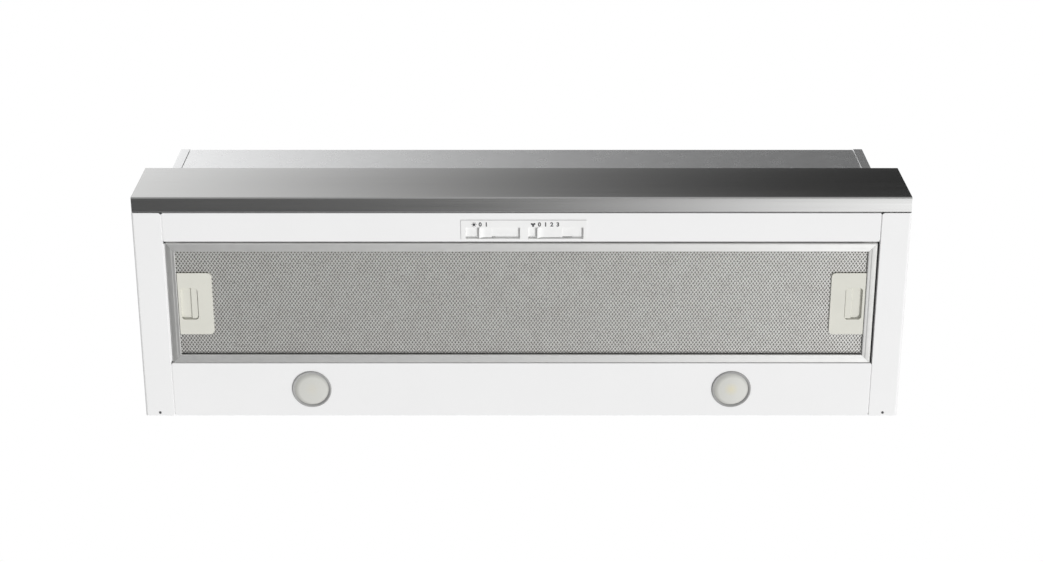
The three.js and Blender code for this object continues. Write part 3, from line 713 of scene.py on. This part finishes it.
def build_marks():
    """The printed marks over the switches: a lamp, a fan, and the numbers of the switch positions."""
    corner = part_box("switch_bezel")[0]
    y, z = corner.y + 5.3 * MM, corner.z + 0.005 * MM
    size, step, ink = 6.8 * MM, 7.1 * MM, 0.02 * MM
    light_x, fan_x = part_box("light_slider")[0].x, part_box("fan_slider")[0].x
    light_first, fan_first = light_x + 1.6 * MM, fan_x + 2.7 * MM
    for i, text in enumerate("0I"):
        build_text(f"light_mark_{text}", text, light_first + i * step, y, z, size)
    for i, text in enumerate("0123"):
        build_text(f"fan_mark_{text}", text, fan_first + i * step, y, z, size)
    lamp_sign_x, fan_sign_x = light_x - 5.6 * MM, fan_x - 4.6 * MM
    bulb = round_outline(lamp_sign_x, y, 1.7 * MM, 16)
    starts = round_outline(lamp_sign_x, y, 2.1 * MM, 8)
    rays = [blade(*start, i * math.pi / 4, 1.1 * MM, 0.4 * MM) for i, start in enumerate(starts)]
    lamp_sign = flat_shape([bulb, *rays], z, ink)
    add_piece("lamp_mark", lamp_sign, "carriage", "black_plastic", print_ink)
    angles = [math.pi / 2 + i * 2 * math.pi / 3 for i in range(3)]
    blades = [blade(fan_sign_x, y, angle, 3.0 * MM, 1.2 * MM) for angle in angles]
    add_piece("fan_mark", flat_shape(blades, z, ink), "carriage", "black_plastic", print_ink)


# ---------------------------------------------------------------- lamps

# The tint of the light that shows through each lens, warmer on the right.
LAMP_GLOW = {"left": (1.02, 1.0, 0.96), "right": (1.08, 1.02, 0.82)}


def build_lamp(side):
    """A round-edged ring with a sleeve behind it, and a domed lens with faint ripples."""
    low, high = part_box(f"lamp_bezel_{side}")
    lens_low, lens_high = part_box(f"lamp_lens_{side}")
    centre = (lens_low + lens_high) / 2
    outer, sleeve, inner = (high.x - low.x) / 2, 21.5 * MM, 20.5 * MM
    crown_width, crown_rise, bevel, flange = 1.35 * MM, 1.15 * MM, 0.9 * MM, 1.3 * MM
    steps = 6
    profile = []
    for i in range(steps + 1):
        angle = math.pi / 2 * i / steps
        radius = outer - crown_width + crown_width * math.cos(angle)
        profile.append((radius, low.z + crown_rise - crown_rise * math.sin(angle)))
    profile += [(inner, low.z + bevel), (inner, high.z), (sleeve, high.z)]
    profile += [(sleeve, low.z + flange), (outer, low.z + flange)]
    stand_in(f"lamp_bezel_{side}", turned_ring(profile, centre))
    lens_radius = (lens_high.x - lens_low.x) / 2
    dome, ripple, tip, steps = 1.0 * MM, 0.03 * MM, 0.02 * MM, 14
    curve = []
    for i in range(steps + 1):
        share = 1 - i / steps
        wave = ripple * math.cos(share * math.pi * 9)
        z = lens_low.z + dome * share**2 + wave + ripple
        curve.append((max(lens_radius * share, tip), z))
    rings = turned([(lens_radius, lens_high.z), *curve], centre, steps=72)
    milk = frosted_lens(f"frosted lens {side}", (centre.x, centre.y, lens_low.z), LAMP_GLOW[side])
    stand_in(f"lamp_lens_{side}", loft(rings), material=milk)


# ---------------------------------------------------------------- fasteners


def screw_mesh(centre, radius, height, up):
    """A pan head with a cross recess, on a face whose outward direction is up."""
    steps, rim = 6, 0.25
    profile = [(radius, 0.0)]
    for i in range(steps):
        angle = math.pi / 2 * i / steps
        profile.append((radius * math.cos(angle), height * (rim + (1 - rim) * math.sin(angle))))
    profile.append((0.001 * MM, height))
    head = loft(turned(profile, (0, 0), steps=28))
    arm, half = radius * 0.62, radius * 0.13
    cross = [(arm, half), (half, half), (half, arm)]
    cross += [(-half, arm), (-half, half), (-arm, half)]
    cross += [(-arm, -half), (-half, -half), (-half, -arm)]
    cross += [(half, -arm), (half, -half), (arm, -half)]
    recess = flat_shape([cross], height * 1.2, height * 0.85)
    mesh = cut_away(head, recess)
    turn = Vector((0, 0, 1)).rotation_difference(Vector(up)).to_matrix().to_4x4()
    mesh.transform(Matrix.Translation(centre) @ turn)
    return mesh


def cut_away(mesh, tool):
    """mesh without what tool covers, by an exact boolean that is applied at once."""
    holders = [bpy.data.objects.new(name, data) for name, data in (("kept", mesh), ("tool", tool))]
    for holder in holders:
        bpy.context.scene.collection.objects.link(holder)
    boolean = holders[0].modifiers.new("cut", "BOOLEAN")
    boolean.operation = "DIFFERENCE"
    boolean.solver = "EXACT"
    boolean.object = holders[1]
    result = evaluated_mesh(holders[0])
    for holder in holders:
        bpy.data.objects.remove(holder)
    return result


def add_fixing(name, centre):
    """A small screw head on top of the hood, which the CAD frame leaves out."""
    head = screw_mesh(centre, 3.2 * MM, 1.8 * MM, (0, 0, 1))
    add_piece(name, head, "hood_body", "zinc_plated_steel")


def build_screws():
    """The screw in each side cover, and four on the duct collar's flange."""
    for side in ("left", "right"):
        low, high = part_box(f"cover_screw_{side}")
        height = 0.6 * MM
        radius = (high.x - low.x) / 2 - 0.3 * MM
        centre = ((low.x + high.x) / 2, (low.y + high.y) / 2, low.z + height)
        head = screw_mesh(centre, radius, height, (0, 0, -1))
        stand_in(f"cover_screw_{side}", head)
    low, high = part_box("duct_collar")
    middle, flange_z = (low + high) / 2, low.z + 2 * MM
    reach = (high.x - low.x) / 2 - 6 * MM
    for i in range(4):
        angle = math.pi / 4 + i * math.pi / 2
        centre = (middle.x + reach * math.cos(angle), middle.y + reach * math.sin(angle), flange_z)
        add_fixing(f"collar_screw_{i + 1}", centre)


# ---------------------------------------------------------------- top panel


def build_rib(name, x, y0, y1, z):
    """A pressed stiffening rib that runs from front to back on the top panel."""
    rings, half_width, steps = [], 6 * MM, 8
    for half, rise in ((6.0, 0.0), (5.2, 0.5), (3.8, 1.3), (2.2, 1.8), (0.6, 2.0)):
        radius, height = half * MM, z + rise * MM
        ring = []
        for end, first in ((y1 - half_width, 0), (y0 + half_width, math.pi)):
            for i in range(steps + 1):
                angle = first + math.pi * i / steps
                ring.append((x + radius * math.cos(angle), end + radius * math.sin(angle), height))
        rings.append(ring)
    add_piece(name, loft(rings), "hood_body", "galvanised_steel", smooth_below=60)


def build_top_details():
    """Ribs, of which the last stops short of the cable gland, and the screws round the panel's edge."""
    low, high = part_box("housing_top_panel")
    rib_front, rib_rear, short_rear = low.y + 30 * MM, -45 * MM, -80 * MM
    gland_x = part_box("cable_gland")[0].x
    for i, x in enumerate((-0.27, -0.21, -0.15, 0.15, 0.21, 0.27)):
        rear = short_rear if x > gland_x - 30 * MM else rib_rear
        build_rib(f"top_rib_{i + 1}", x, rib_front, rear, high.z)
    inset = 9 * MM
    places = [(x, y) for x in (-0.37, -0.13, 0.13, 0.37) for y in (low.y + inset, high.y - inset)]
    places += [(x, y) for x in (low.x + inset, high.x - inset) for y in (-0.19, -0.07)]
    for i, (x, y) in enumerate(places):
        add_fixing(f"top_screw_{i + 1}", (x, y, high.z))


# ---------------------------------------------------------------- everything else keeps its CAD shape

# Edge radii in millimetres: the usual one, and those of the nodes that differ.
USUAL_ROUNDING = 0.3
ROUNDING = {
    "control_strip": 0.45,
    "lamp_panel": 0.45,
    "light_slider": 0.45,
    "fan_slider": 0.45,
    "switch_bezel": 0.15,
    "latch_plate_left": 0.45,
    "latch_plate_right": 0.45,
    "latch_tab_left": 0.6,
    "latch_tab_right": 0.6,
}


def build_rounded_pieces(done):
    for node in nodes:
        if node not in done:
            copy = rounded_copy(node, ROUNDING.get(node, USUAL_ROUNDING) * MM)
            stand_in(node, copy, smooth_below=50, flat_faces=True)


# ---------------------------------------------------------------- stage, light and camera


def build_floor():
    """A pale floor far below, since the hood hangs high. It takes no part in the lighting."""
    shape = bmesh.new()
    bmesh.ops.create_grid(shape, x_segments=24, y_segments=24, size=40)
    floor = bpy.data.objects.new("floor", from_bmesh(shape))
    floor.location.z = -4.6
    paint = Surface("pale floor", (0.86, 0.86, 0.86), 0.7)
    floor.data.materials.append(paint.tinted(paint.noise((0.4, 0.4, 0.4)), 0.99, 1.01).material)
    bpy.context.scene.collection.objects.link(floor)
    floor.visible_diffuse = False
    floor.visible_glossy = False
    floor.visible_shadow = False


class Sky:
    """A white studio all round, with soft bright and dark cards that steel reflects."""

    def __init__(self):
        world = bpy.data.worlds.new("studio")
        world.use_nodes = True
        bpy.context.scene.world = world
        self.nodes, self.links = world.node_tree.nodes, world.node_tree.links
        self.nodes.clear()
        self.direction = self.nodes.new("ShaderNodeTexCoord").outputs["Generated"]
        self.level = None

    def card(self, towards, inner, outer, level):
        """A round card centred that way, of that level inside inner degrees, fading out by outer."""
        dot = self.nodes.new("ShaderNodeVectorMath")
        dot.operation = "DOT_PRODUCT"
        dot.inputs[1].default_value = Vector(towards).normalized()
        self.links.new(self.direction, dot.inputs[0])
        fade = self.nodes.new("ShaderNodeMapRange")
        fade.interpolation_type = "SMOOTHSTEP"
        fade.inputs["From Min"].default_value = math.cos(math.radians(outer))
        fade.inputs["From Max"].default_value = math.cos(math.radians(inner))
        fade.inputs["To Min"].default_value = 1.0
        fade.inputs["To Max"].default_value = level
        self.links.new(dot.outputs["Value"], fade.inputs["Value"])
        if self.level is None:
            self.level = fade.outputs["Result"]
            return
        product = self.nodes.new("ShaderNodeMath")
        product.operation = "MULTIPLY"
        self.links.new(self.level, product.inputs[0])
        self.links.new(fade.outputs["Result"], product.inputs[1])
        self.level = product.outputs[0]

    def finish(self, strength):
        studio = self.nodes.new("ShaderNodeBackground")
        scaled = self.nodes.new("ShaderNodeMath")
        scaled.operation = "MULTIPLY"
        scaled.inputs[1].default_value = strength
        self.links.new(self.level, scaled.inputs[0])
        self.links.new(scaled.outputs[0], studio.inputs["Strength"])
        backdrop = self.nodes.new("ShaderNodeBackground")
        chosen = self.nodes.new("ShaderNodeMixShader")
        rays = self.nodes.new("ShaderNodeLightPath")
        output = self.nodes.new("ShaderNodeOutputWorld")
        self.links.new(rays.outputs["Is Camera Ray"], chosen.inputs[0])
        self.links.new(studio.outputs[0], chosen.inputs[1])
        self.links.new(backdrop.outputs[0], chosen.inputs[2])
        self.links.new(chosen.outputs[0], output.inputs["Surface"])
        for background in (studio, backdrop):
            background.inputs["Color"].default_value = (1, 1, 1, 1)


def build_sun(name, towards, strength, spread):
    """A soft light from one direction, which steel doesn't mirror."""
    light = bpy.data.lights.new(name, "SUN")
    light.energy = strength
    light.angle = math.radians(spread)
    lamp = bpy.data.objects.new(name, light)
    lamp.rotation_mode = "QUATERNION"
    lamp.rotation_quaternion = Vector(towards).to_track_quat("Z", "Y")
    lamp.visible_glossy = False
    bpy.context.scene.collection.objects.link(lamp)


def build_light():
    sky = Sky()
    sky.card((-0.50, -0.33, 0.80), inner=10, outer=42, level=2.6)
    sky.card((0.42, -0.33, 0.85), inner=13, outer=41, level=0.05)
    sky.card((-0.42, 0.36, -0.83), inner=24, outer=36, level=0.2)
    sky.card((0.42, 0.36, -0.83), inner=14, outer=27, level=3.4)
    sky.finish(strength=0.5)
    build_sun("key from below right", (0.50, 0.33, -0.80), strength=1.85, spread=8)
    build_sun("fill from above left", (-0.5, -0.55, 0.67), strength=1.6, spread=25)


def build_camera():
    """Below and in front of the hood, looking up at it with a long lens."""
    data = bpy.data.cameras.new("camera")
    data.lens = 71.5
    data.sensor_width = 36
    data.clip_end = 100
    camera = bpy.data.objects.new("camera", data)
    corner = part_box("fascia")[0]
    forward, drop, elevation = 0.8136, 2.2367, math.radians(67.7)
    camera.location = (0, corner.y - forward, corner.z - drop)
    look = Vector((0, math.cos(elevation), math.sin(elevation)))
    camera.rotation_mode = "QUATERNION"
    camera.rotation_quaternion = look.to_track_quat("-Z", "Y")
    bpy.context.scene.collection.objects.link(camera)
    bpy.context.scene.camera = camera


build_camera()
build_floor()
build_light()
bpy.context.scene.view_settings.view_transform = "Standard"

build_fascia()
for side, sign in (("left", -1), ("right", 1)):
    build_side_cover(side, sign)
build_panel_lips()
build_filter_guide()
build_filter_frame()
build_filter_mesh()
build_inner_mesh()
build_slit_webs()
build_latch_webs()
build_marks()
for side in ("left", "right"):
    build_lamp(side)
build_screws()
build_top_details()
built = {"fascia", "filter_frame", "filter_mesh", "inner_filter_mesh"}
for part in ("side_cover", "lamp_bezel", "lamp_lens", "cover_screw"):
    built.update((f"{part}_left", f"{part}_right"))
build_rounded_pieces(done=built)
